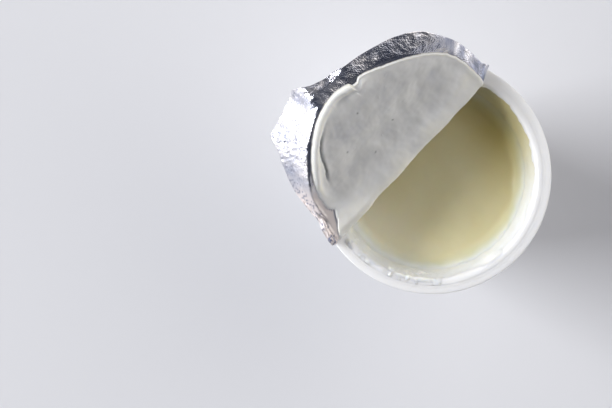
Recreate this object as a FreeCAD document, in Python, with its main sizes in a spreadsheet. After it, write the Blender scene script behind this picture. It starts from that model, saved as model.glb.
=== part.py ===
"""A small round yogurt pot, nearly full, with its foil lid peeled half off and folded back.

Frame: millimetres, +Z up, origin at the centre of the base on the table.  The lid's fold runs
along Y.  +X points from the fold to the open side, so the folded flap lies over the -X side.
"""
import FreeCAD, Part
import os
from math import acos, atan2, cos, hypot, radians, sin

import Sketcher

# ---------------------------------------------------------------- driving dimensions (mm, degrees)
SIZES = {
    # the plastic pot
    "rim_radius": 37.5,          # outer edge of the flange that the foil is sealed to
    "flange_width": 4.6,
    "flange_thickness": 1.0,
    "flange_round": 0.7,         # rounding where the flange turns down into the neck
    "pot_height": 66.0,
    "wall": 0.6,
    "neck_depth": 9.5,           # tapered neck, from the flange's top down to the stacking step
    "neck_inset": 3.3,           # how much the neck narrows on its way down
    "step_width": 1.5,           # stacking step below the neck
    "step_drop": 0.8,
    "base_radius": 24.5,
    "heel_radius": 3.0,
    # the yogurt
    "fill_depth": 11.5,          # from the flange's top down to the yogurt's surface
    "meniscus_rise": 0.5,
    "meniscus_width": 1.6,
    # the foil lid, folded back
    "foil_thickness": 0.4,
    "foil_overhang": 0.6,        # how far the lid's edge stands out past the flange
    "fold_offset": 8.4,          # the fold's outermost line, on the -X side of the pot's axis
    "fold_radius": 2.5,
    "start_rise": 14.0,          # slope of the flap where it leaves the fold
    "sweep_up_radius": 25.6,     # the flap curls up over this radius
    "steep_rise": 52.0,          # to its steepest slope
    "sweep_over_radius": 37.5,   # eases off again over this one
    "crest_rise": 26.0,          # to this slope, just before the crest
    "crest_radius": 4.5,
    "tab_droop": 42.0,           # past the crest the foil slopes down by this much
    "tab_length": 8.0,           # past the round edge of the flat lid
    "tab_end_width": 17.0,
    "tab_corner": 4.0,
    "tab_turn": 20.0,            # in the flat lid, away from straight back, towards -Y
    # the yogurt film on the lid's inner face
    "film_thickness": 0.4,
}

DOCUMENT = FreeCAD.newDocument("yogurt_pot")
SHEET = DOCUMENT.addObject("Spreadsheet::Sheet", "sizes")
for row, (alias, value) in enumerate(SIZES.items(), start=1):
    SHEET.set(f"A{row}", alias)
    SHEET.set(f"B{row}", str(value))
    SHEET.setAlias(f"B{row}", alias)
DOCUMENT.recompute()

# ---------------------------------------------------------------- formulas shared by the pieces
NECK_TOP = "( rim_radius - flange_width )"
NECK_FOOT = f"( {NECK_TOP} - neck_inset )"
BODY_TOP = f"( {NECK_FOOT} - step_width )"
FLOOR_RADIUS = "( base_radius - wall )"
STEP_TOP_Z = "( pot_height - neck_depth )"
STEP_FOOT_Z = f"( {STEP_TOP_Z} - step_drop )"
FILL_Z = "( pot_height - fill_depth )"
LID_RADIUS = "( rim_radius + foil_overhang )"

# the pot's inner wall from the floor to the flange, which the yogurt follows too
INSIDE = [
    (FLOOR_RADIUS, "wall"),
    (BODY_TOP, STEP_FOOT_Z),
    (NECK_FOOT, STEP_TOP_Z),
    (NECK_TOP, "pot_height"),
]


def measure(formula):
    """The number that a formula of aliases gives."""
    return float(SHEET.evalExpression(formula))


def bind(item, target, formula):
    """Tie a property or a constraint to a formula that reads the sheet."""
    words = [f"sizes.{word}" if word in SIZES else word for word in formula.split()]
    item.setExpression(target, " ".join(words))


# ---------------------------------------------------------------- the pot and the yogurt
def new_body(label):
    """An empty body whose label names the piece."""
    body = DOCUMENT.addObject("PartDesign::Body", label)
    body.Label = label
    return body


def section_sketch(body, name, corners):
    """A closed outline in the XZ plane, each corner held at (across, up) formulas."""
    sketch = body.newObject("Sketcher::SketchObject", name)
    plane = next(item for item in body.Origin.OriginFeatures if item.Role == "XZ_Plane")
    sketch.AttachmentSupport = [(plane, "")]
    sketch.MapMode = "FlatFace"
    places = [(measure(across), measure(up)) for across, up in corners]
    for start, end in zip(places, places[1:] + places[:1]):
        sketch.addGeometry(Part.LineSegment(FreeCAD.Vector(*start), FreeCAD.Vector(*end)), False)
    for index, corner in enumerate(corners):
        before = (index - 1) % len(corners)
        sketch.addConstraint(Sketcher.Constraint("Coincident", before, 2, index, 1))
        for kind, formula in zip(("DistanceX", "DistanceY"), corner):
            held = Sketcher.Constraint(kind, -1, 1, index, 1, measure(formula))
            bind(sketch, f"Constraints[{sketch.addConstraint(held)}]", formula)
    return sketch


def turn_about_axis(body, sketch, feature):
    """The sketch turned full circle about the pot's axis, as an added or a cut shape."""
    turned = body.newObject(feature, f"{sketch.Name}_turned")
    turned.Profile = sketch
    turned.ReferenceAxis = (sketch, ["V_Axis"])
    turned.Angle = 360
    DOCUMENT.recompute()


def round_ring(body, radius, height, rounding):
    """Round the circular edge that runs at the given radius and height."""
    base = body.Tip
    rings = [
        f"Edge{number}"
        for number, edge in enumerate(base.Shape.Edges, start=1)
        if edge.Curve.TypeId == "Part::GeomCircle"
        and hypot(edge.Curve.Radius - measure(radius), edge.Curve.Center.z - measure(height)) < 0.01
    ]
    fillet = body.newObject("PartDesign::Fillet", f"{base.Name}_rounded")
    fillet.Base = (base, rings)
    bind(fillet, "Radius", rounding)
    DOCUMENT.recompute()


def make_pot():
    """Thin plastic pot: flat base, drafted body, stacking step, tapered neck and flat flange."""
    body = new_body("pot")
    outside = [
        ("base_radius", "0"),
        (f"{BODY_TOP} + wall", f"{STEP_FOOT_Z} - wall"),
        (f"{NECK_FOOT} + wall", f"{STEP_TOP_Z} - wall"),
        (f"{NECK_TOP} + wall", "pot_height - flange_thickness"),
        ("rim_radius", "pot_height - flange_thickness"),
        ("rim_radius", "pot_height"),
    ]
    corners = [("0", "0")] + outside + INSIDE[::-1] + [("0", "wall")]
    turn_about_axis(body, section_sketch(body, "pot_section", corners), "PartDesign::Revolution")
    round_ring(body, "base_radius", "0", "heel_radius")
    round_ring(body, FLOOR_RADIUS, "wall", "heel_radius - wall")
    round_ring(body, NECK_TOP, "pot_height", "flange_round")
    return body


def make_yogurt():
    """All of the pot's inside up to the fill level, with a small rise where it wets the wall."""
    body = new_body("yogurt")
    corners = [("0", "wall")] + INSIDE + [("0", "pot_height")]
    turn_about_axis(body, section_sketch(body, "inside_section", corners), "PartDesign::Revolution")
    round_ring(body, FLOOR_RADIUS, "wall", "heel_radius - wall")
    wetted_z = f"{FILL_Z} + meniscus_rise"
    air = [
        ("0", FILL_Z),
        (f"{BODY_TOP} - meniscus_width", FILL_Z),
        (BODY_TOP, wetted_z),
        ("rim_radius", wetted_z),
        ("rim_radius", "pot_height + wall"),
        ("0", "pot_height + wall"),
    ]
    turn_about_axis(body, section_sketch(body, "air_section", air), "PartDesign::Groove")
    return body


# ---------------------------------------------------------------- the foil's bent section
# The foil is walked from its far attached edge, along +X over the flange, round the fold and
# back.  A step is (radius, amount): a turn of so many degrees, to the left when positive, or,
# with no radius, a straight run of so many millimetres.  The foil's inner face, which touched
# the yogurt, is the walked line, and the foil's thickness lies to the left of it.
def foil_steps():
    """The steps of the whole section, ending just past the tab's corner."""
    fold_start = measure(f"{LID_RADIUS} - fold_offset - fold_radius")
    bends = [
        (measure("fold_radius"), 90),
        (measure("fold_radius"), measure("90 - start_rise")),
        (measure("sweep_up_radius"), measure("start_rise - steep_rise")),
        (measure("sweep_over_radius"), measure("steep_rise - crest_rise")),
        (measure("crest_radius"), measure("crest_rise + tab_droop")),
    ]
    used = fold_start + sum(radius * radians(abs(turn)) for radius, turn in bends)
    tab_run = measure(f"2 * {LID_RADIUS} + tab_length + tab_corner") - used
    return [(None, fold_start)] + bends + [(None, tab_run)]


def left_of(heading):
    """The direction to the left of a heading, in the section's plane."""
    return FreeCAD.Vector(-sin(radians(heading)), 0, cos(radians(heading)))


def ahead_of(heading):
    """The direction of a heading: 0 is +X, 90 is up."""
    return FreeCAD.Vector(cos(radians(heading)), 0, sin(radians(heading)))


def place_in_step(start, heading, step, share, offset):
    """The point a share of the way through a step, offset to the left of the walked line."""
    radius, amount = step
    if radius is None:
        return start + ahead_of(heading) * (amount * share) + left_of(heading) * offset
    reach = radius if amount > 0 else -radius
    centre = start + left_of(heading) * reach
    return centre - left_of(heading + amount * share) * (reach - offset)


def section_edges(offset, first, last):
    """The section's edges from step first up to step last, offset to the left."""
    start = FreeCAD.Vector(-measure(LID_RADIUS), 0, measure("pot_height"))
    heading = 0
    edges = []
    for step in foil_steps():
        points = [place_in_step(start, heading, step, share, offset) for share in (0, 0.5, 1)]
        curve = Part.LineSegment(points[0], points[2]) if step[0] is None else Part.Arc(*points)
        edges.append(curve.toShape())
        start = place_in_step(start, heading, step, 1, 0)
        heading += 0 if step[0] is None else step[1]
    return edges[first:last]


def plan_reach(distance):
    """X, seen from above, of the point that was this far past the flat lid's centre."""
    left = measure(LID_RADIUS) + distance
    start = FreeCAD.Vector(-measure(LID_RADIUS), 0, measure("pot_height"))
    heading = 0
    for step in foil_steps():
        radius, amount = step
        length = amount if radius is None else radius * radians(abs(amount))
        if left <= length:
            return place_in_step(start, heading, step, left / length, 0).x
        left -= length
        start = place_in_step(start, heading, step, 1, 0)
        heading += 0 if radius is None else amount
    raise ValueError("the foil ends before this distance")


# ---------------------------------------------------------------- the foil lid and its film
def bent_strip(name, inner, outer, first, last):
    """The section between two offsets, as a strip that runs along Y past both sides of the lid."""
    near = section_edges(inner, first, last)
    far = section_edges(outer, first, last)
    ends = [
        Part.LineSegment(near[0].firstVertex().Point, far[0].firstVertex().Point).toShape(),
        Part.LineSegment(near[-1].lastVertex().Point, far[-1].lastVertex().Point).toShape(),
    ]
    section = DOCUMENT.addObject("Part::Feature", f"{name}_section")
    section.Shape = Part.Face(Part.Wire(Part.__sortEdges__(near + far + ends)))
    strip = DOCUMENT.addObject("Part::Extrusion", f"{name}_strip")
    strip.Base = section
    strip.DirMode = "Custom"
    strip.Dir = FreeCAD.Vector(0, 1, 0)
    strip.Symmetric = True
    strip.Solid = True
    bind(strip, "LengthFwd", f"2 * ( {LID_RADIUS} + foil_overhang )")
    return strip


def upright(name, outline, floor):
    """An outline seen from above, as a prism from the floor formula up past the whole flap."""
    prism = DOCUMENT.addObject("Part::Extrusion", f"{name}_prism")
    prism.Base = outline
    prism.DirMode = "Custom"
    prism.Dir = FreeCAD.Vector(0, 0, 1)
    prism.Solid = True
    bind(prism, "Placement.Base.z", floor)
    bind(prism, "LengthFwd", LID_RADIUS)
    return prism


def folded_disc(name, radius):
    """A disc of the lid as it looks from above when folded back and foreshortened by its slope."""
    foreshortening = -(plan_reach(measure(radius)) + measure("fold_offset")) / measure(f"fold_offset + {radius}")
    outline = DOCUMENT.addObject("Part::Ellipse", f"{name}_outline")
    bind(outline, "MajorRadius", radius)
    outline.MinorRadius = foreshortening * measure(radius)
    centre = FreeCAD.Vector(-measure("fold_offset") * (1 + foreshortening), 0, 0)
    outline.Placement = FreeCAD.Placement(centre, FreeCAD.Rotation(FreeCAD.Vector(0, 0, 1), 90))
    return upright(name, outline, "pot_height + fold_radius")


def make_tab():
    """The pull tab seen from above: its sides leave the lid's edge in line with it, its end is blunt.

    Each corner is placed in the flat lid first, by its distance from the centre and its direction
    from straight back, and then carried over to the folded lid.
    """
    end = measure(f"{LID_RADIUS} + tab_length")
    half_end = measure("tab_end_width / 2")
    corner_reach = hypot(end, half_end)
    corner_angle = atan2(half_end, end)
    root_angle = corner_angle + acos(measure(LID_RADIUS) / corner_reach)
    turn = radians(measure("tab_turn"))
    corners = []
    for reach, angle in (
        (measure(LID_RADIUS), root_angle),
        (corner_reach, corner_angle),
        (corner_reach, -corner_angle),
        (measure(LID_RADIUS), -root_angle),
    ):
        flat_y = reach * sin(angle - turn)
        corners.append(FreeCAD.Vector(plan_reach(reach * cos(angle - turn)), flat_y, 0))
    outline = DOCUMENT.addObject("Part::Feature", "tab_outline")
    outline.Shape = Part.makePolygon(corners + corners[:1])
    prism = upright("tab", outline, "pot_height + fold_radius")
    DOCUMENT.recompute()
    rounded = DOCUMENT.addObject("Part::Fillet", "tab_rounded")
    rounded.Base = prism
    end_edges = [
        number
        for number, edge in enumerate(prism.Shape.Edges, start=1)
        if abs(edge.tangentAt(edge.FirstParameter).z) > 0.9
        and min(hypot(edge.Vertexes[0].X - c.x, edge.Vertexes[0].Y - c.y) for c in corners[1:3]) < 0.01
    ]
    rounded.Edges = [(number, measure("tab_corner"), measure("tab_corner")) for number in end_edges]
    return rounded


def boolean(kind, name, shapes):
    """A Part::MultiFuse or Part::MultiCommon of several document objects."""
    result = DOCUMENT.addObject(f"Part::{kind}", name)
    result.Shapes = shapes
    result.Refine = True
    return result


def make_foil_lid():
    """The whole foil: the half still sealed to the flange, the fold, and the raised flap with its tab."""
    strip = bent_strip("foil", 0, measure("foil_thickness"), 0, None)
    sealed_disc = DOCUMENT.addObject("Part::Cylinder", "sealed_disc")
    bind(sealed_disc, "Radius", LID_RADIUS)
    bind(sealed_disc, "Height", "2 * fold_radius")
    bind(sealed_disc, "Placement.Base.z", "pot_height - fold_radius")
    sealed_half = boolean("MultiCommon", "sealed_half", [strip, sealed_disc])
    flap_outline = boolean("MultiFuse", "flap_outline", [folded_disc("flap", LID_RADIUS), make_tab()])
    flap = boolean("MultiCommon", "flap", [strip, flap_outline])
    lid = boolean("MultiFuse", "foil_lid", [sealed_half, flap])
    return lid


def make_lid_film():
    """The thin coat of yogurt left on the flap's inner face, from the fold to the seal ring."""
    strip = bent_strip("film", -measure("film_thickness"), 0, 2, None)
    return boolean("MultiCommon", "lid_film", [strip, folded_disc("film_reach", NECK_TOP)])


# ---------------------------------------------------------------- build, test and write
def export(pieces):
    """Test every object and every piece, then write each piece to a file named by its label."""
    DOCUMENT.recompute()
    failed = [item.Label for item in DOCUMENT.Objects if {"Invalid", "Error"} & set(item.State)]
    if failed:
        raise SystemExit(f"objects that failed: {failed}")
    for piece in pieces:
        if piece.Shape.isNull() or not piece.Shape.isValid() or len(piece.Shape.Solids) != 1:
            raise SystemExit(f"{piece.Label} isn't one valid solid")
    os.makedirs("parts", exist_ok=True)
    for piece in pieces:
        piece.Shape.exportStep(f"parts/{piece.Label}.step")
        print(f"{piece.Label}: {piece.Shape.Volume:.0f} mm3")


export([make_pot(), make_yogurt(), make_foil_lid(), make_lid_film()])
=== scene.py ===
"""Looks of the peeled yogurt pot: thin plastic, yogurt, crumpled foil, film and smears.

Lengths are millimetres until a mesh is made, which is in metres like the frame.
"""

from math import atan2, cos, pi, radians, sin, sqrt

import bpy
import numpy as np
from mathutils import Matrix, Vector, noise


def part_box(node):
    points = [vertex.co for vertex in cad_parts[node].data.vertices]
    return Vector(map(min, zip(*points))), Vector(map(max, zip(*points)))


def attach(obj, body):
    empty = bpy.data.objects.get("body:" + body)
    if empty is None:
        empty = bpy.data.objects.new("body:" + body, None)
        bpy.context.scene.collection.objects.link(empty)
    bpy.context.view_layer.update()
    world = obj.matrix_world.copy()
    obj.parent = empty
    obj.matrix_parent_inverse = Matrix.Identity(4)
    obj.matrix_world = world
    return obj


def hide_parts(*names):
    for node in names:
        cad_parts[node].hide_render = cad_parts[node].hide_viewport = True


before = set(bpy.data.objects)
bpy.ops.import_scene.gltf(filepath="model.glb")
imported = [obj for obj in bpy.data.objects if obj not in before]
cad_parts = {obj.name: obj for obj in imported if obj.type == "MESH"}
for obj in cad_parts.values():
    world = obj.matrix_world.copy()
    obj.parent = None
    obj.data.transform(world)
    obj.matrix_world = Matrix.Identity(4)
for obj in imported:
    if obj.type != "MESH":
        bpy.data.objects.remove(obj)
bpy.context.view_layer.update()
METRE = 1000.0

# ---------------------------------------------------------------- sizes, most of them from the frame
POT_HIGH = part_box("pot")[1] * METRE
RIM_RADIUS = POT_HIGH.x
POT_HEIGHT = POT_HIGH.z
MENISCUS_RISE = 0.5
FILL_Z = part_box("yogurt")[1].z * METRE - MENISCUS_RISE
FILM_OUTER_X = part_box("lid_film")[1].x * METRE

FLANGE_WIDTH = 4.6
FLANGE_THICKNESS = 1.0
WALL = 0.6
NECK_TOP = RIM_RADIUS - FLANGE_WIDTH
NECK_FOOT = NECK_TOP - 3.3
BODY_TOP = NECK_FOOT - 1.5
STEP_TOP_Z = POT_HEIGHT - 9.5
STEP_FOOT_Z = STEP_TOP_Z - 0.8
BASE_RADIUS = 24.5
HEEL_RADIUS = 3.0

LID_RADIUS = RIM_RADIUS + 0.6
FOIL_THICKNESS = 0.12
FILM_RADIUS = NECK_TOP
FOLD_OFFSET = 0.4 - FILM_OUTER_X        # the CAD film stands 0.4 proud of the fold
FOLD_RADIUS = 2.5

CAMERA_HEIGHT = 650.0                    # above the flange
CAMERA_OFFSET = (-23.6, -33.4)
CAMERA_TURN = 41.9                       # the fold runs diagonally across the picture
LENS = 121.3
SENSOR_WIDTH = 36.0
FLOOR_REACH = 3.0                        # metres

WINDOW = (-0.849, -0.529)                # level direction towards the window
WINDOW_ELEVATION = 27
WINDOW_SIZE = (2.3, 0.95)                # metres
WINDOW_DISTANCE = 4.0
WINDOW_POWER = 172.0
WINDOW_COLOUR = (0.985, 0.99, 1.0)
FAR_WALL = (0.392, 0.919)                # level direction towards a bright wall that fills the shade
FAR_WALL_ELEVATION = 17
LOW_WINDOW = (-0.317, -0.942)            # level direction towards a second window, low down
LOW_WINDOW_ELEVATION = 6
ROOM = (0.050, 0.056, 0.075)             # what the foil mirrors elsewhere
# each glow is full within so many degrees, gone beyond so many, and has a colour
FAR_WALL_GLOW = (5, 60, (1.95, 1.89, 1.79))
CEILING_GLOW = (5, 40, (0.10, 0.10, 0.10))
WINDOW_GLOW = (7, 32, (1.5, 1.5, 1.52))
LOW_WINDOW_GLOW = (8, 24, (2.2, 2.2, 2.25))


# ---------------------------------------------------------------- small helpers
def smooth_step(low, high, value):
    """0 below low, 1 above high, and an even S between."""
    share = np.clip((np.asarray(value, float) - low) / (high - low), 0, 1)
    return share * share * (3 - 2 * share)


def hump(centre, width, value):
    """A bell of height 1 at the centre."""
    return np.exp(-((np.asarray(value, float) - centre) / width) ** 2)


def rough(points, size, seed, octaves=3):
    """Fractal noise of about -1 to 1 at each point, with lumps of the given size."""
    shift = Vector((seed * 17.3, seed * 5.1, seed * 9.7))
    values = [noise.fractal(Vector(point) / size + shift, 1.0, 2.0, octaves) for point in points]
    return np.array(values)


def creased(points, size, seed):
    """Flat facets that meet in sharp ridges, as in crumpled foil: 0 in a facet, 1 on a ridge."""
    shift = Vector((seed * 3.7, seed * 11.9, seed * 7.3))
    values = []
    for point in points:
        distances = noise.voronoi(Vector(point) / size + shift)[0]
        values.append(1 - min(1.0, (distances[1] - distances[0]) * 1.6))
    return np.array(values)


def make_piece(name, points, faces, replaces=(), values=None):
    """A smooth-shaded mesh that rides on the part, from points in millimetres."""
    mesh = bpy.data.meshes.new(name)
    mesh.from_pydata([tuple(point / METRE) for point in np.asarray(points, float)], [], faces)
    mesh.validate()
    mesh.update()
    mesh.shade_smooth()
    for label, numbers in (values or {}).items():
        attribute = mesh.attributes.new(label, "FLOAT", "POINT")
        attribute.data.foreach_set("value", np.asarray(numbers, np.float32))
    piece = bpy.data.objects.new(name, mesh)
    bpy.context.scene.collection.objects.link(piece)
    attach(piece, "root")
    if replaces:
        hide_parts(*replaces)
    return piece


def grid_faces(rows, columns, wrap=False, start=0, flip=False):
    """Quads between neighbouring rows and columns of a grid of points."""
    faces = []
    for row in range(rows - 1):
        for column in range(columns if wrap else columns - 1):
            after = (column + 1) % columns
            quad = [row * columns + column, row * columns + after,
                    (row + 1) * columns + after, (row + 1) * columns + column]
            faces.append([start + index for index in (quad[::-1] if flip else quad)])
    return faces


def rounded_line(corners, steps=7):
    """A line through (across, up, rounding) corners with each corner eased off by its rounding."""
    line = []
    for index, (across, up, rounding) in enumerate(corners):
        here = np.array((across, up))
        if not rounding or index in (0, len(corners) - 1):
            line.append(here)
            continue
        before = np.array(corners[index - 1][:2]) - here
        after = np.array(corners[index + 1][:2]) - here
        enter = here + before / np.linalg.norm(before) * rounding
        leave = here + after / np.linalg.norm(after) * rounding
        for share in np.linspace(0, 1, steps):
            line.append((1 - share) ** 2 * enter + 2 * share * (1 - share) * here + share ** 2 * leave)
    return np.array(line)


def densified(line, spacing):
    """The same line with extra points so that none are further apart than the spacing."""
    points = [line[0]]
    for start, end in zip(line, line[1:]):
        pieces = max(1, int(np.linalg.norm(end - start) / spacing))
        points += [start + (end - start) * (number + 1) / pieces for number in range(pieces)]
    return np.array(points)


def turned(line, segments):
    """Points and faces of a line of (radius, height) from axis to axis, turned about the axis."""
    angles = np.arange(segments) * 2 * pi / segments
    rings = line[1:-1]
    points = [(r * cos(a), r * sin(a), z) for r, z in rings for a in angles]
    faces = grid_faces(len(rings), segments, wrap=True)
    first, last = len(points), len(points) + 1
    points += [(0, 0, line[0][1]), (0, 0, line[-1][1])]
    top = (len(rings) - 1) * segments
    for index in range(segments):
        after = (index + 1) % segments
        faces.append([first, after, index])
        faces.append([last, top + index, top + after])
    return np.array(points, float), faces


# ---------------------------------------------------------------- material helpers
class Shader:
    """A node material with a Principled BSDF, and short ways to add nodes to it."""

    def __init__(self, name):
        self.material = bpy.data.materials.new(name)
        self.material.use_nodes = True
        self.tree = self.material.node_tree
        self.surface = self.tree.nodes["Principled BSDF"]
        self.place = self.node("ShaderNodeTexCoord").outputs["Object"]

    def node(self, kind, **settings):
        made = self.tree.nodes.new(kind)
        for name, value in settings.items():
            setattr(made, name, value)
        return made

    def link(self, output, socket):
        self.tree.links.new(output, socket)

    def feed(self, made, inputs):
        for name, value in inputs.items():
            if isinstance(value, bpy.types.NodeSocket):
                self.link(value, made.inputs[name])
            else:
                made.inputs[name].default_value = value
        return made

    def noise(self, size_mm, detail=3.0, roughness=0.5, stretch=None):
        """Noise with lumps of about this size."""
        place = self.place
        if stretch:
            mapping = self.feed(self.node("ShaderNodeMapping"), {"Vector": place, "Scale": stretch[0],
                                                                  "Rotation": stretch[1]})
            place = mapping.outputs["Vector"]
        made = self.node("ShaderNodeTexNoise")
        inputs = {"Vector": place, "Scale": METRE / size_mm, "Detail": detail, "Roughness": roughness}
        return self.feed(made, inputs).outputs["Fac"]

    def cells(self, size_mm, feature="F1"):
        """Distance to the nearest of scattered points about this far apart."""
        made = self.node("ShaderNodeTexVoronoi", feature=feature)
        return self.feed(made, {"Vector": self.place, "Scale": METRE / size_mm}).outputs["Distance"]

    def value(self, label):
        """A number stored on the mesh."""
        return self.node("ShaderNodeAttribute", attribute_name=label).outputs["Fac"]

    def sum(self, operation, first, second):
        """Two numbers added or multiplied."""
        made = self.node("ShaderNodeMath", operation=operation)
        for socket, number in zip(made.inputs, (first, second)):
            if isinstance(number, bpy.types.NodeSocket):
                self.link(number, socket)
            else:
                socket.default_value = number
        return made.outputs[0]

    def spread(self, source, low, high):
        """Carry a number from 0 to 1 over to another range."""
        made = self.node("ShaderNodeMapRange")
        return self.feed(made, {"Value": source, "To Min": low, "To Max": high}).outputs["Result"]

    def ramp(self, source, stops):
        """A colour for each number, through (number, colour) stops."""
        made = self.node("ShaderNodeValToRGB")
        self.link(source, made.inputs["Fac"])
        elements = made.color_ramp.elements
        while len(elements) < len(stops):
            elements.new(0.5)
        for element, (position, colour) in zip(elements, stops):
            element.position = position
            element.color = (*colour, 1.0)
        return made.outputs["Color"]

    def mix(self, share, first, second):
        """The first colour at a share of 0, the second at 1."""
        made = self.node("ShaderNodeMix", data_type="RGBA")
        for socket, value in zip((made.inputs[0], made.inputs[6], made.inputs[7]), (share, first, second)):
            if isinstance(value, bpy.types.NodeSocket):
                self.link(value, socket)
            else:
                socket.default_value = value if isinstance(value, float) else (*value, 1.0)
        return made.outputs[2]

    def bump(self, height, strength, depth_mm, below=None):
        """A bump, on top of the one below it if there is one."""
        made = self.feed(self.node("ShaderNodeBump"), {"Height": height, "Strength": strength,
                                                       "Distance": depth_mm / METRE})
        if below:
            self.link(below, made.inputs["Normal"])
        return made.outputs["Normal"]

    def set(self, **inputs):
        self.feed(self.surface, {name.replace("_", " "): value for name, value in inputs.items()})


def plastic_material():
    """Thin white polypropylene: slightly cloudy, satin, with faint moulding marks."""
    shader = Shader("pot_plastic")
    cloud = shader.noise(9.0, 3.0)
    colour = shader.ramp(cloud, [(0.3, (0.86, 0.855, 0.855)), (0.7, (0.905, 0.90, 0.895))])
    fine = shader.noise(0.7, 2.0)
    shader.set(Base_Color=colour, Roughness=shader.spread(fine, 0.30, 0.46), IOR=1.49,
               Subsurface_Weight=0.9, Subsurface_Radius=(1.0, 0.95, 0.85), Subsurface_Scale=0.003,
               Normal=shader.bump(fine, 0.25, 0.03))
    return shader.material


def yogurt_material():
    """Plain yogurt: a soft cream with a patchy yellow tint, whiter up the wall, with painted shade
    (yellower and darker on the far side under the flap) and painted light (paler at the lower left).
    """
    shader = Shader("yogurt")
    cloud = shader.noise(11.0, 3.0)
    cream = shader.ramp(cloud, [(0.3, (0.735, 0.695, 0.465)), (0.7, (0.775, 0.74, 0.525))])
    # painted shade: the mix towards olive stands in for the flap's shadow on the far side; the rest is a
    # patchy yellow tint
    tint_and_painted_shade = shader.mix(shader.value("tint_and_painted_shade"), cream, (0.64, 0.54, 0.22))
    # whiter up the wall; also painted light, paler at the lower left, and painted shade, less white on the
    # far side under the flap
    colour = shader.mix(shader.value("pale"), tint_and_painted_shade, (0.90, 0.87, 0.76))
    fine = shader.noise(1.2, 2.0)
    shader.set(Base_Color=colour, Roughness=shader.spread(fine, 0.36, 0.48), IOR=1.4,
               Subsurface_Weight=0.8, Subsurface_Radius=(1.0, 0.8, 0.5), Subsurface_Scale=0.003,
               Normal=shader.bump(fine, 0.15, 0.05))
    return shader.material


def smear_material():
    """Yogurt left on the plastic: whiter and thinner than the filling, with painted shade on the far side
    of the neck.
    """
    shader = Shader("smear")
    cloud = shader.spread(shader.noise(3.0, 3.0), -0.25, 0.25)
    level = shader.sum("ADD", shader.value("height"), cloud)
    colour = shader.ramp(level, [(0.0, (0.78, 0.715, 0.49)), (0.3, (0.90, 0.87, 0.74)),
                                 (0.75, (0.95, 0.935, 0.88))])
    # painted shade: the olive mix stands in for the flap's shadow on the far side of the neck
    colour = shader.mix(shader.value("tint_and_painted_shade"), colour, (0.70, 0.60, 0.32))
    fine = shader.noise(0.8, 3.0)
    shader.set(Base_Color=colour, Roughness=shader.spread(fine, 0.3, 0.45), IOR=1.4,
               Subsurface_Weight=0.6, Subsurface_Radius=(1.0, 0.85, 0.6), Subsurface_Scale=0.0015,
               Normal=shader.bump(fine, 0.3, 0.1))
    return shader.material


def foil_material():
    """Soft aluminium foil: embossed where it was sealed, crinkled and bare where it was pulled, with
    painted shade and reflection mixed in as dark navy.
    """
    shader = Shader("foil")
    patch = shader.noise(4.0, 4.0)
    colour = shader.ramp(patch, [(0.3, (0.64, 0.66, 0.76)), (0.7, (0.90, 0.87, 0.88))])
    colour = shader.mix(shader.value("bare"), colour, (0.93, 0.86, 0.84))
    # painted shade and painted reflection: dark navy in creases, on the ring and along the film's torn end
    colour = shader.mix(shader.value("shade"), colour, (0.16, 0.19, 0.30))
    knurl = shader.sum("MULTIPLY", shader.cells(0.42), shader.value("knurl"))
    crinkle = shader.sum("MULTIPLY", shader.cells(1.0, "DISTANCE_TO_EDGE"), shader.value("crinkle"))
    scratch = shader.noise(0.8, 6.0, 0.75)
    normal = shader.bump(scratch, 0.20, 0.20)
    normal = shader.bump(crinkle, 0.7, 0.35, normal)
    normal = shader.bump(knurl, 0.7, 0.10, normal)
    matt = shader.sum("ADD", shader.spread(shader.value("crinkle"), 0.0, 0.20),
                      shader.spread(shader.value("bare"), 0.0, 0.42))
    roughness = shader.sum("ADD", shader.spread(patch, 0.09, 0.20), matt)
    shader.set(Base_Color=colour, Metallic=1.0, Roughness=roughness, Normal=normal)
    return shader.material


def film_material():
    """Yogurt on the foil: grey where it is thin, white and creamy where it is thick, with painted light
    near the fold and its edge and painted shade in the valley inside the bead.
    """
    shader = Shader("yogurt_film")
    # this value holds the yogurt's thickness plus painted light near the fold and edge and painted shade in
    # the valley inside the bead
    thickness = shader.value("thickness")
    streaks = shader.noise(5.0, 4.0, 0.55, ((1.0, 0.28, 1.0), (0.0, 0.0, 0.15)))
    cloud = shader.noise(9.0, 2.0)
    body = shader.sum("ADD", shader.spread(streaks, -0.22, 0.22), shader.spread(cloud, -0.22, 0.22))
    level = shader.sum("ADD", thickness, body)
    colour = shader.ramp(level, [(0.0, (0.60, 0.61, 0.65)), (0.30, (0.75, 0.75, 0.745)),
                                 (0.55, (0.89, 0.89, 0.88)), (0.80, (0.94, 0.92, 0.84)),
                                 (1.0, (0.95, 0.95, 0.93))])
    # real dark specks, and a painted shade line along the crease inside the bead
    colour = shader.mix(shader.value("speck_and_painted_crease_shade"), colour, (0.13, 0.14, 0.14))
    fine = shader.noise(0.9, 3.0)
    normal = shader.bump(streaks, 0.3, 0.25)
    shader.set(Base_Color=colour, Roughness=shader.spread(fine, 0.32, 0.5), IOR=1.4,
               Subsurface_Weight=0.25, Subsurface_Radius=(1.0, 0.9, 0.7), Subsurface_Scale=0.0008,
               Normal=shader.bump(fine, 0.2, 0.05, normal))
    return shader.material


def floor_material():
    """Plain pale tabletop."""
    shader = Shader("floor")
    cloud = shader.noise(120.0, 2.0)
    shader.set(Base_Color=shader.ramp(cloud, [(0.3, (0.715, 0.720, 0.755)), (0.7, (0.725, 0.730, 0.765))]),
               Roughness=0.8)
    return shader.material


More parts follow.
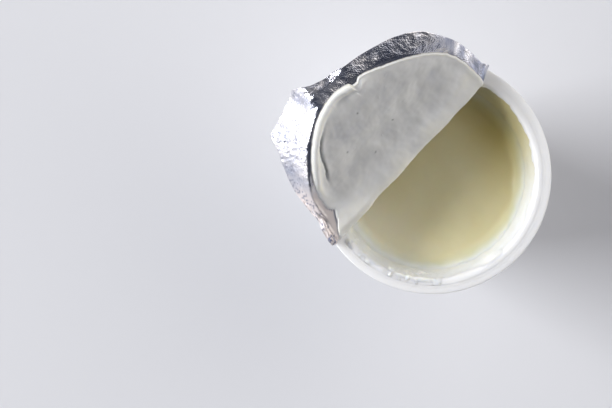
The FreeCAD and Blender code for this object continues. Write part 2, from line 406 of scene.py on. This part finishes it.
# ---------------------------------------------------------------- the plastic pot
def make_pot():
    """The pot's wall, with its flange's sealing grooves, stacking step, foot ring and gate mark."""
    groove = 0.05
    foot_ring, gate_mark = 0.6, 0.25
    floor_top = WALL + foot_ring
    top = POT_HEIGHT
    under = POT_HEIGHT - FLANGE_THICKNESS
    corners = [
        (0.0, gate_mark, 0), (1.6, gate_mark, 0.3), (2.0, foot_ring, 0.2), (16.0, foot_ring, 0.5),
        (17.0, 0.0, 0.5),
        (BASE_RADIUS, 0.0, HEEL_RADIUS),
        (BODY_TOP + WALL, STEP_FOOT_Z - WALL, 0.7), (NECK_FOOT + WALL, STEP_TOP_Z - WALL, 0.7),
        (NECK_TOP + WALL, under, 0.5), (RIM_RADIUS - 0.3, under, 0.2), (RIM_RADIUS, under + 0.3, 0.25),
        (RIM_RADIUS, top - 0.1, 0.3), (RIM_RADIUS - 0.9, top, 0.4),
        (RIM_RADIUS - 1.7, top, 0.15), (RIM_RADIUS - 1.95, top - groove, 0.12),
        (RIM_RADIUS - 2.2, top, 0.15),
        (RIM_RADIUS - 2.6, top, 0.15), (RIM_RADIUS - 2.8, top - groove, 0.12), (RIM_RADIUS - 3.0, top, 0.1),
        (NECK_TOP, top, 1.1), (NECK_FOOT, STEP_TOP_Z, 0.7), (BODY_TOP, STEP_FOOT_Z, 0.5),
        (BASE_RADIUS - WALL, floor_top, HEEL_RADIUS - WALL), (0.0, floor_top, 0),
    ]
    points, faces = turned(densified(rounded_line(corners), 2.5), 256)
    piece = make_piece("pot_shell", points, faces, ["pot"])
    piece.data.materials.append(plastic_material())
    return piece


def tint_and_painted_shade_share(points):
    """A patchy yellow tint everywhere, plus painted shade: much more on the far side of the cup, where the
    flap's shadow is deepest.
    """
    turn = np.degrees(np.arctan2(points[:, 1], points[:, 0]))
    radius = np.hypot(points[:, 0], points[:, 1])
    return (smooth_step(8, 27, radius) * hump(76, 42, turn) * 0.75 + 0.22
            + 0.12 * rough(points, 12.0, 21, 2))


def make_yogurt():
    """The filling: a faintly uneven surface that climbs in a soft fillet over the stacking step."""
    corners = [
        (0.0, WALL + 0.8, 0), (BASE_RADIUS - WALL, WALL + 0.8, 2.0), (BODY_TOP + 0.2, STEP_FOOT_Z, 0.1),
        (NECK_FOOT + 0.2, STEP_TOP_Z - 0.1, 0.1), (NECK_FOOT + 1.1, STEP_TOP_Z + 2.2, 0.1),
        (NECK_FOOT - 0.7, FILL_Z + 2.5, 0.9), (BODY_TOP - 1.6, FILL_Z + 0.3, 1.4),
        (BODY_TOP - 5.4, FILL_Z, 2.0), (0.0, FILL_Z, 0),
    ]
    points, faces = turned(densified(rounded_line(corners), 0.8), 240)
    radius = np.hypot(points[:, 0], points[:, 1])
    on_top = np.arange(len(points)) > len(points) * 0.5
    on_top &= (points[:, 2] > FILL_Z - 0.5) & (radius < NECK_FOOT - 0.2)
    relief = 0.14 * rough(points, 12.0, 1) + 0.04 * rough(points, 4.0, 2)
    climb = 0.35 * rough(points, 6.0, 18, 3) * smooth_step(BODY_TOP - 3, BODY_TOP, radius)
    points[:, 2] += np.where(on_top, relief * smooth_step(BODY_TOP, BODY_TOP - 3.0, radius) + climb, 0)
    pale = smooth_step(BODY_TOP - 0.8, NECK_FOOT + 0.5, radius + 0.5 * rough(points, 5.0, 22, 2))
    turn = np.degrees(np.arctan2(points[:, 1], points[:, 0]))
    # painted shade and painted light: less whitening towards the wall on the shaded far side, and a paler
    # lower left where the window's light falls
    pale = pale * (1 - 0.85 * hump(76, 38, turn)) + 0.55 * hump(-98, 45, turn) * smooth_step(7, 25, radius)
    values = {"tint_and_painted_shade": np.clip(tint_and_painted_shade_share(points), 0, 1), "pale": np.clip(pale, 0, 1)}
    piece = make_piece("yogurt_fill", points, faces, ["yogurt"], values)
    piece.data.materials.append(yogurt_material())
    return piece


# ---------------------------------------------------------------- the folded lid
# A point of the flat lid has a distance along it past its centre, positive on the peeled side,
# and a y across it.  The lid is bent by giving each such point a heading: 0 lies flat on the
# flange, 90 stands up and 180 lies folded back.  Adding up the headings along the foil gives
# where each point goes.
STEP = 0.2
ACROSS_STEP = 0.5
ALONG = np.arange(-LID_RADIUS - 1, LID_RADIUS + 12, STEP)
ACROSS = np.arange(-LID_RADIUS - 1, LID_RADIUS + 1.01, ACROSS_STEP)

FOLD_ANGLE = 166                         # how far the foil is turned back at the fold
FLAP_RISES = (14, 52, 26)                # the flap's slope at the fold, part way up and towards its end
RISE_RUN = 17                            # the length of foil over which each slope goes over to the next
BEAD_RADIUS = 33.7                       # the flap bends again just outside the bead of yogurt
TAB_DROOP = 16                           # how far below level the tab points
CORNER_RISE = 4                          # and how far above it the tab's upper corner points
TAB_TIP = 43.4

# the tab's side of the cut foil as (along, y), from its tip back to the seal's round edge
TAB_SIDE = [(TAB_TIP, -10.4), (42.7, -14.0), (39.4, -24.2), (38.0, -25.3), (31.0, -27.4), (27.0, -29.2),
            (21.7, -31.0), (15.3, -32.8), (7.3, -34.3), (3.0, -34.8), (0.0, -36.4), (-4.0, -37.5)]
# the film's ragged edge as (direction in degrees, distance from the lid's centre)
FILM_EDGE = [(-112, 37.0), (-103, 36.2), (-99, 34.6), (-93, 31.2), (-86, 28.8), (-82, 30.2), (-44, 32.4),
             (-25, 33.3), (-12, 33.5), (-4, 33.2), (1, 32.4), (4.2, 31.9), (5.2, 30.7), (8.2, 30.7),
             (10.4, 31.9), (16, 31.8), (25, 31.2), (35, 31.4), (54, 32.3), (67, 32.8), (104, 32.8),
             (112, 33.4)]
FILM_SPECKS = [(22.3, -2.3), (9.3, 4.0), (5.4, -6.9), (14.5, -13.0)]


def far_side():
    """The other side of the cut foil: the tab's short edge, then the seal's round edge, pulled
    out at its shoulder and drawn in towards the fold."""
    turn = np.arange(5.0, 96.0, 5.0)
    shoulder = 2.4 * hump(44.5, np.where(turn < 44.5, 19, 15), turn)
    radius = LID_RADIUS - 0.9 + shoulder - 0.95 * smooth_step(50, 80, turn)
    around = [(r * cos(a), r * sin(a)) for r, a in zip(radius, np.radians(turn))]
    return [(TAB_TIP, -10.6), (41.8, -9.0), (39.4, -5.6), (37.9, -1.1), *around]


FAR_SIDE = far_side()


def lid_heading():
    """The heading of the foil, in degrees, over the grid of distances and y."""
    along, across = np.meshgrid(ALONG, ACROSS, indexing="ij")
    askew = 0.9 * smooth_step(-10, 26, across) - 2.2 * smooth_step(31, 38, across)
    past = along + FOLD_OFFSET + FOLD_RADIUS - askew
    fold_end = FOLD_RADIUS * radians(FOLD_ANGLE)
    turned_back = FOLD_ANGLE * np.clip(past / fold_end, 0, 1)
    beyond = past - fold_end
    near, steep, far = FLAP_RISES
    rise = near + (steep - near) * np.clip(beyond / RISE_RUN, 0, 1)
    rise = rise + (far - steep) * np.clip(beyond / RISE_RUN - 1, 0, 1)
    bead_radius = BEAD_RADIUS - 0.8 * smooth_step(-14, -23, across)
    past_bead = smooth_step(-0.5, 0.9, along - np.sqrt(np.maximum(bead_radius ** 2 - across ** 2, 0)))
    drooping = smooth_step(-8, -13, across) * smooth_step(-34, -30, across)
    level = smooth_step(5, -2, across) * (1 - drooping)
    rise = rise - past_bead * (drooping * (rise + TAB_DROOP) + level * (rise - CORNER_RISE))
    return turned_back - np.where(beyond > 0, rise - near, 0)


def lid_table():
    """Where each point of the grid goes: X, Z and heading."""
    heading = lid_heading()
    turn = np.radians(heading)
    x = np.cumsum(np.cos(turn), axis=0) * STEP
    z = np.cumsum(np.sin(turn), axis=0) * STEP
    flat = int((LID_RADIUS - 20) / STEP)
    x += ALONG[flat] - x[flat]
    z += POT_HEIGHT - z[flat]
    return x, z, heading


LID_X, LID_Z, LID_HEADING = lid_table()


def look_up(table, along, across):
    """The table's value between its grid points."""
    row = np.clip((along - ALONG[0]) / STEP, 0, len(ALONG) - 1.001)
    column = np.clip((across - ACROSS[0]) / ACROSS_STEP, 0, len(ACROSS) - 1.001)
    i, j = row.astype(int), column.astype(int)
    u, v = row - i, column - j
    near = table[i, j] * (1 - v) + table[i, j + 1] * v
    far = table[i + 1, j] * (1 - v) + table[i + 1, j + 1] * v
    return near * (1 - u) + far * u


def bent(along, across, lift):
    """Where points of the flat lid go, lifted by so much off the foil's inner face."""
    turn = np.radians(look_up(LID_HEADING, along, across))
    x = look_up(LID_X, along, across) + lift * np.sin(turn)
    z = look_up(LID_Z, along, across) - lift * np.cos(turn)
    return np.stack([x, across, z], axis=1)


def lid_side(along, side, sign):
    """The y of one side of the cut foil at each distance along it."""
    table = np.array(side[::-1])
    fine = np.arange(-LID_RADIUS, TAB_TIP + 0.01, 0.1)
    round_y = sign * np.sqrt(np.maximum(LID_RADIUS ** 2 - fine ** 2, 0))
    cut_y = np.interp(fine, table[:, 0], table[:, 1])
    share = smooth_step(table[0, 0] - 5, table[0, 0], fine)
    y = round_y + (cut_y - round_y) * share
    wavy = np.array([noise.noise(Vector((value * 0.9, sign, 1.0))) for value in fine])
    y += 0.10 * wavy * share
    even = np.convolve(np.pad(y, 4, mode="edge"), np.ones(9) / 9, mode="valid")
    return np.interp(along, fine, even)


def smooth_film_edge(turn):
    """The distance from the lid's centre to the film's outline, without its raggedness."""
    return np.interp(turn, [spot[0] for spot in FILM_EDGE], [spot[1] for spot in FILM_EDGE])


def film_edge(angle):
    """The film's outline in the flat lid: ragged, with a step back past the bead's upper end."""
    turn = np.degrees(angle)
    torn = 1 + 2.0 * hump(-93, 7, turn) + 0.5 * smooth_step(20, 40, turn)
    ragged = 0.14 * noise.noise(Vector((angle * 14, 0.0, 3.0)))
    ragged += 0.10 * noise.noise(Vector((angle * 45, 5.0, 0.0)))
    return smooth_film_edge(turn) + torn * ragged


def tab_folds(spots, radius, turn):
    """The tab's creases.  It leans out, and its upper side is bent down."""
    along, across = spots[:, 0], spots[:, 1]
    tab = smooth_step(34.5, 37.5, radius) * smooth_step(4, 0, turn) * smooth_step(-66, -54, turn)
    middling, fine = creased(spots, 2.1, 5), creased(spots, 1.1, 13)
    folds = tab * (0.22 * creased(spots, 4.5, 4) + 0.22 * middling + 0.15 * fine - 0.2)
    leaning = smooth_step(-7, -13, across) * smooth_step(-46, -30, turn)
    folds = folds - 0.30 * np.clip(radius - 34.0, 0, 12) * leaning
    low_side = smooth_step(33.0, 34.0, radius) * smooth_step(-28, -38, turn) * smooth_step(-74, -62, turn)
    folds = folds + low_side * (0.28 * middling + 0.20 * creased(spots, 1.0, 13) - 0.15)
    past_hem = (along - 37.4) * 0.80 + (across + 0.6) * 0.60
    hem = smooth_step(-3.4, -0.2, past_hem) * smooth_step(35.5, 37.5, radius) * smooth_step(8, 2, turn)
    return folds - 1.8 * hem


def gathered_end(spots, turn):
    """The ring's lower end: gathered into pleats, with a hard edge and a creased tip."""
    low = smooth_step(-48, -60, turn) * smooth_step(-106, -98, turn)
    inset = spots[:, 1] - lid_side(spots[:, 0], TAB_SIDE, -1)
    pleat = 0.25 * hump(1.4, 0.3, inset) - 0.2 * hump(2.1, 0.25, inset) - 0.6 * smooth_step(1.0, 0.1, inset)
    tip = smooth_step(3.5, 1.0, inset) * (0.30 * creased(spots, 2.0, 7) + 0.25 * creased(spots, 0.9, 24))
    return low * (pleat + tip)


def crumple(along, across):
    """How far the foil is pushed off its smooth shape by crumpling, in millimetres."""
    spots = np.stack([along, across, np.zeros_like(along)], axis=1)
    radius = np.hypot(along, across)
    turn = np.degrees(np.arctan2(across, along))
    waves = 0.25 * rough(spots, 11.0, 3, 2) * smooth_step(-2, 9, along)
    ring = smooth_step(32, 34.5, radius) * smooth_step(-5, 3, along)
    rim = ring * (0.16 * rough(spots, 2.4, 6, 3) + 0.10 * creased(spots, 3.5, 23))
    return waves + rim + tab_folds(spots, radius, turn) + gathered_end(spots, turn)


def closed_sheet(upper, lower, faces, border):
    """Two copies of a patch, back to back, joined along their border."""
    count = len(upper)
    sides = [[index, count + index, count + following, following]
             for index, following in zip(border, [*border[1:], border[0]])]
    below = [[count + index for index in face[::-1]] for face in faces]
    return np.concatenate([upper, lower]), faces + below + sides


def grid_border(rows, columns):
    """The grid's outermost points in order."""
    count = rows * columns
    return [*range(columns), *range(2 * columns - 1, count, columns),
            *range(count - 2, count - columns - 1, -1), *range(count - 2 * columns, 0, -columns)]


def foil_values(along, across):
    """What the foil's material reads: where it is embossed, crinkled and bare, and where shade is painted:
    in its creases, as a dark reflection on the sealed ring, and as a shadow along the film's torn end.
    """
    radius = np.hypot(along, across)
    turn = np.degrees(np.arctan2(across, along))
    spots = np.stack([along, across, np.zeros_like(along)], axis=1)
    bare = smooth_step(-55, -72, turn) * smooth_step(-112, -104, turn) * smooth_step(27, 29, radius)
    knurl = smooth_step(FILM_RADIUS - 0.9, FILM_RADIUS - 0.1, radius) * smooth_step(38.6, 37.6, radius)
    knurl = knurl * (1 - 0.8 * bare)
    tab = smooth_step(35.5, 38.5, radius) * (0.6 + 0.4 * smooth_step(39.5, 42.5, radius))
    low_side = 0.8 * smooth_step(33.9, 34.8, radius) * smooth_step(-28, -38, turn)
    crinkle = np.maximum(tab, low_side)

    streaks = np.clip(0.5 + 1.2 * rough(spots * (1.0, 0.35, 1.0), 2.6, 31, 3), 0, 1)
    creases = np.clip(1 - 9 * np.abs(rough(spots * (0.6, 1.0, 1.0), 2.4, 33, 3)), 0, 1)
    inset = np.minimum(across - lid_side(along, TAB_SIDE, -1), lid_side(along, FAR_SIDE, 1) - across)
    past_film = radius - smooth_film_edge(turn)
    # painted reflection: the sealed ring is darkened to navy where it faces the dark room, most at its
    # upper left and its right end
    painted_ring_reflection = knurl * (0.06 + 0.75 * hump(20, 15, turn) + 0.65 * smooth_step(52, 75, turn)) * streaks
    # painted shade: dark lines in the creases of the tab and of the bare lower end
    painted_crease_shade = 0.7 * bare * smooth_step(4.2, 1.6, inset)
    painted_crease_shade = painted_crease_shade + crinkle * (0.25 + 0.45 * smooth_step(5.0, 1.0, inset))
    # painted shadow: a dark line in the gap under the film's torn lower end
    torn = 0.8 * hump(-89, 9, turn) * hump(0.2, 0.35, past_film)
    shade = np.clip(torn + painted_ring_reflection + creases * painted_crease_shade, 0, 0.9)
    return {"knurl": knurl, "crinkle": crinkle, "bare": bare, "shade": shade}


def make_lid():
    """The whole foil in one sheet: sealed half, fold, raised flap, crest and pull tab."""
    rows = np.concatenate([
        -LID_RADIUS * np.cos(np.linspace(0.03, radians(70), 26)), np.arange(-12.6, -2.5, 0.33),
        np.arange(-2.2, 27.0, 0.62), np.arange(27.0, TAB_TIP - 0.1, 0.28),
    ])
    columns = 300
    low, high = lid_side(rows, TAB_SIDE, -1), lid_side(rows, FAR_SIDE, 1)
    share = np.linspace(0, 1, columns)
    across = (low[:, None] + (high - low)[:, None] * share).ravel()
    along = np.repeat(rows, columns)
    push = crumple(along, across)
    inner = bent(along, across, push)
    outer = bent(along, across, push - FOIL_THICKNESS)
    faces = grid_faces(len(rows), columns)
    points, faces = closed_sheet(inner, outer, faces, grid_border(len(rows), columns))
    values = {label: np.tile(numbers, 2) for label, numbers in foil_values(along, across).items()}
    piece = make_piece("lid_foil", points, faces, ["foil_lid"], values)
    piece.data.materials.append(foil_material())
    return piece


def film_grid(centre, start, rings, spokes):
    """The film in the flat lid: its points, in rings from its centre out, and its faces."""
    along, across = [centre], [0.0]
    rims = []
    for spoke in np.linspace(-pi, pi, spokes, endpoint=False):
        reach = FILM_RADIUS
        for _ in range(12):
            wanted = film_edge(atan2(reach * sin(spoke), centre + reach * cos(spoke)))
            reach = -centre * cos(spoke) + sqrt(wanted ** 2 - (centre * sin(spoke)) ** 2)
        if cos(spoke) < -1e-6:
            reach = min(reach, (start - centre) / cos(spoke))
        rims.append((centre + reach * cos(spoke), reach * sin(spoke)))
    for share in np.linspace(0, 1, rings + 1)[1:] ** 0.8:
        along += [centre + share * (rim[0] - centre) for rim in rims]
        across += [share * rim[1] for rim in rims]
    faces = [[0, 1 + (index + 1) % spokes, 1 + index] for index in range(spokes)]
    faces += grid_faces(rings, spokes, wrap=True, start=1)
    return np.array(along), np.array(across), faces


def make_film():
    """The film of yogurt on the flap: a thin uneven coat with a thick bead along its far edge."""
    start = -FOLD_OFFSET - FOLD_RADIUS + 1.2
    spokes = 480
    rings = 84
    along, across, faces = film_grid(11.0, start, rings, spokes)
    spots = np.stack([along, across, np.zeros_like(along)], axis=1)
    angle = np.arctan2(across, along)
    turn = np.degrees(angle)
    inset = np.array([film_edge(a) for a in angle]) - np.hypot(along, across)
    from_edge = np.minimum(np.maximum(inset, 0), along - start + 0.3)
    lip = np.sqrt(np.clip(from_edge / 0.7, 0, 1))
    beaded = smooth_step(5.2, 3.6, turn) * smooth_step(-82, -52, turn)
    width = 1.35 + 0.2 * rough(spots, 8.0, 14, 2)
    bead = beaded * hump(1.5, width, inset)
    rim = (1 - beaded) * hump(0.35, 0.4, inset) * smooth_step(-4, 8, along) * smooth_step(-20, 10, turn)
    valley_at = 3.0 + 2.1 * smooth_step(-34, -56, turn)
    valley = hump(0, 0.5, inset - valley_at) * hump(-40, 15, turn)
    valley += 0.4 * hump(3.5, 0.7, inset) * hump(-2, 10, turn)
    valley += 0.6 * hump(5.0, 0.5, inset) * hump(-58, 5, turn)
    swell = 0.42 * rough(spots, 9.0, 9, 2) + 0.13 * rough(spots, 3.2, 15, 2)
    dots = 0.35 * np.clip(rough(spots, 1.5, 16, 1) - 0.62, 0, 1)
    coat = 0.45 + swell * smooth_step(0.5, 3.0, from_edge) + dots
    thickness = lip * np.clip(coat + 0.75 * bead + 0.25 * rim - 0.75 * valley, 0.05, None)
    push = crumple(along, across)
    upper = bent(along, across, push + thickness)
    lower = bent(along, across, push - 0.04)
    points, faces = closed_sheet(upper, lower, faces, [*range(len(along) - spokes, len(along))])
    # painted light and painted shade: whiter within some millimetres of the fold and of the edge, and
    # darker in the valley inside the bead beyond its thinner coat
    near_fold = smooth_step(16, 5, along - start)
    near_edge = smooth_step(9, 3, inset) * (1 - near_fold)
    shade = 0.28 + 0.68 * bead + 0.55 * rim - 0.5 * valley + 0.2 * swell
    shade = np.clip(shade + 0.40 * near_fold + 0.18 * near_edge, 0, 1)
    # painted shade: a dark line along the valley inside the bead, added to the real dark specks
    creased_share = smooth_step(-27, -35, turn) * smooth_step(-68, -58, turn)
    crease = 1.3 * hump(0, 0.33, inset - valley_at + 0.2 * rough(spots, 3.0, 35, 2)) * creased_share
    specks_and_crease_shade = crease + sum(hump(0, 0.32, np.hypot(along - x, across - y)) for x, y in FILM_SPECKS)
    values = {"thickness": np.tile(shade, 2), "speck_and_painted_crease_shade": np.tile(np.clip(specks_and_crease_shade, 0, 1) * 0.75, 2)}
    piece = make_piece("yogurt_film", points, faces, ["lid_film"], values)
    piece.data.materials.append(film_material())
    return piece


# ---------------------------------------------------------------- yogurt left on the plastic
def make_smears():
    """Yogurt left on the neck: a coat that thins up the wall, ragged at the top, with a few lumps."""
    line = densified(rounded_line([
        (NECK_FOOT - 0.4, STEP_TOP_Z - 0.2, 0), (NECK_FOOT + 0.1, STEP_TOP_Z + 0.4, 0.3),
        (NECK_TOP, POT_HEIGHT, 1.1), (NECK_TOP + 1.9, POT_HEIGHT, 0),
    ]), 0.3)
    slope = np.gradient(line, axis=0)
    slope /= np.linalg.norm(slope, axis=1, keepdims=True)
    inward = np.stack([-slope[:, 1], slope[:, 0]], axis=1)
    length = np.concatenate([[0], np.cumsum(np.linalg.norm(np.diff(line, axis=0), axis=1))])
    angles = np.linspace(-pi, pi, 900)
    columns = len(angles)
    radius, height = np.repeat(line[:, 0], columns), np.repeat(line[:, 1], columns)
    towards_r, towards_z = np.repeat(inward[:, 0], columns), np.repeat(inward[:, 1], columns)
    up, turn = np.repeat(length, columns), np.tile(angles, len(line))
    spots = np.stack([radius * np.cos(turn), radius * np.sin(turn), height], axis=1)
    normals = np.stack([towards_r * np.cos(turn), towards_r * np.sin(turn), towards_z], axis=1)
    turn = np.degrees(turn)
    brim = length[-1] - 1.9
    ragged = rough(spots * (1, 1, 0.4), 5.0, 11, 4)
    lumps = rough(spots, 2.0, 12, 3)
    low_left = smooth_step(-30, -55, turn) * smooth_step(-130, -100, turn)
    reach = brim - 2.4 + 1.9 * ragged + 2.2 * low_left + 1.0 * hump(80, 30, turn)
    coat = (0.15 + 0.25 * smooth_step(3.0, 0.5, up)) * smooth_step(0.9, -0.6, up - reach)
    coat = coat * (0.8 + 0.5 * lumps)
    thick_lumps = np.clip(rough(spots, 2.6, 41, 3) - 0.05, 0, 1)
    coat = coat + 0.55 * low_left * thick_lumps * smooth_step(2.0, 4.0, up)
    blob = 0.55 * hump(-53, 5.5, turn) * hump(brim - 0.2, 0.7, up)
    blob = blob + 0.4 * hump(-66, 3.0, turn) * hump(brim - 0.1, 0.5, up)
    drip_length = smooth_step(brim - 6, brim - 4.5, up) * smooth_step(brim + 0.2, brim - 0.6, up)
    drip = 0.35 * hump(-12, 5, turn) * drip_length
    ends = smooth_step(length[-1], length[-1] - 0.4, up)
    thickness = (coat + blob + drip) * ends - 0.06
    upper = spots + normals * thickness[:, None]
    lower = spots - normals * 0.2
    rows = len(line)
    faces = grid_faces(rows, columns, flip=True)
    points, faces = closed_sheet(upper, lower, faces, grid_border(rows, columns))
    # painted shade: the coat is held to its low, darker cream on the shaded far side, and tinted olive
    # there
    level = np.clip(0.25 + 0.75 * up / brim, 0, 1) * (1 - 0.95 * hump(80, 36, turn))
    values = {"height": np.tile(level, 2), "tint_and_painted_shade": np.tile(hump(80, 36, turn), 2)}
    piece = make_piece("wall_smears", points, faces, (), values)
    piece.data.materials.append(smear_material())
    return piece


# ---------------------------------------------------------------- stage, light and camera
def make_stage():
    """A wide pale floor, the room's glow, and one large soft window light."""
    mesh = bpy.data.meshes.new("floor")
    low, high = -FLOOR_REACH, FLOOR_REACH
    mesh.from_pydata([(low, low, 0), (high, low, 0), (high, high, 0), (low, high, 0)], [], [[0, 1, 2, 3]])
    mesh.materials.append(floor_material())
    floor = bpy.data.objects.new("floor", mesh)
    bpy.context.scene.collection.objects.link(floor)

    make_room()
    add_window_light()
    bpy.context.scene.view_settings.view_transform = "Standard"


def make_room():
    """A dim bluish room with a bright far wall, light around two windows and a faint ceiling."""
    world = bpy.data.worlds.new("room")
    bpy.context.scene.world = world
    world.use_nodes = True
    nodes, links = world.node_tree.nodes, world.node_tree.links
    direction = nodes.new("ShaderNodeTexCoord").outputs["Generated"]

    def glow(towards, inner, outer, colour, below):
        """Light that is full within one angle of a direction and gone beyond the other."""
        facing = nodes.new("ShaderNodeVectorMath")
        facing.operation = "DOT_PRODUCT"
        links.new(direction, facing.inputs[0])
        facing.inputs[1].default_value = towards
        share = nodes.new("ShaderNodeMapRange")
        share.interpolation_type = "SMOOTHSTEP"
        links.new(facing.outputs["Value"], share.inputs["Value"])
        share.inputs["From Min"].default_value = cos(radians(outer))
        share.inputs["From Max"].default_value = cos(radians(inner))
        mix = nodes.new("ShaderNodeMix")
        mix.data_type = "RGBA"
        mix.blend_type = "ADD"
        links.new(share.outputs["Result"], mix.inputs[0])
        if below is None:
            mix.inputs[6].default_value = (*ROOM, 1)
        else:
            links.new(below, mix.inputs[6])
        mix.inputs[7].default_value = (*colour, 1)
        return mix.outputs[2]

    colour = glow((0, 0, 1), *CEILING_GLOW, None)
    colour = glow(tuple(aim_at(FAR_WALL, FAR_WALL_ELEVATION)), *FAR_WALL_GLOW, colour)
    colour = glow(tuple(aim_at(WINDOW, WINDOW_ELEVATION)), *WINDOW_GLOW, colour)
    colour = glow(tuple(aim_at(LOW_WINDOW, LOW_WINDOW_ELEVATION)), *LOW_WINDOW_GLOW, colour)
    links.new(colour, nodes["Background"].inputs["Color"])
    nodes["Background"].inputs["Strength"].default_value = 1.0


def aim_at(towards, elevation):
    """The direction that points level towards something and up by the elevation."""
    level = Vector((*towards, 0)).normalized() * cos(radians(elevation))
    return Vector((level.x, level.y, sin(radians(elevation))))


def add_window_light():
    """The wide, low window, facing the flange."""
    data = bpy.data.lights.new("window", "AREA")
    data.shape = "RECTANGLE"
    data.size, data.size_y = WINDOW_SIZE
    data.energy = WINDOW_POWER
    data.color = WINDOW_COLOUR
    lamp = bpy.data.objects.new("window", data)
    aim = aim_at(WINDOW, WINDOW_ELEVATION)
    lamp.location = Vector((0, 0, POT_HEIGHT / METRE)) + aim * WINDOW_DISTANCE
    lamp.rotation_euler = aim.to_track_quat("Z", "Y").to_euler()
    bpy.context.scene.collection.objects.link(lamp)


def make_camera():
    """Straight down over the pot, a little towards the folded lid's tab."""
    data = bpy.data.cameras.new("camera")
    data.lens = LENS
    data.sensor_width = SENSOR_WIDTH
    camera = bpy.data.objects.new("camera", data)
    camera.location = Vector((*CAMERA_OFFSET, POT_HEIGHT + CAMERA_HEIGHT)) / METRE
    camera.rotation_euler = (0, 0, radians(CAMERA_TURN))
    bpy.context.scene.collection.objects.link(camera)
    bpy.context.scene.camera = camera


make_camera()
make_stage()
make_pot()
make_yogurt()
make_lid()
make_film()
make_smears()
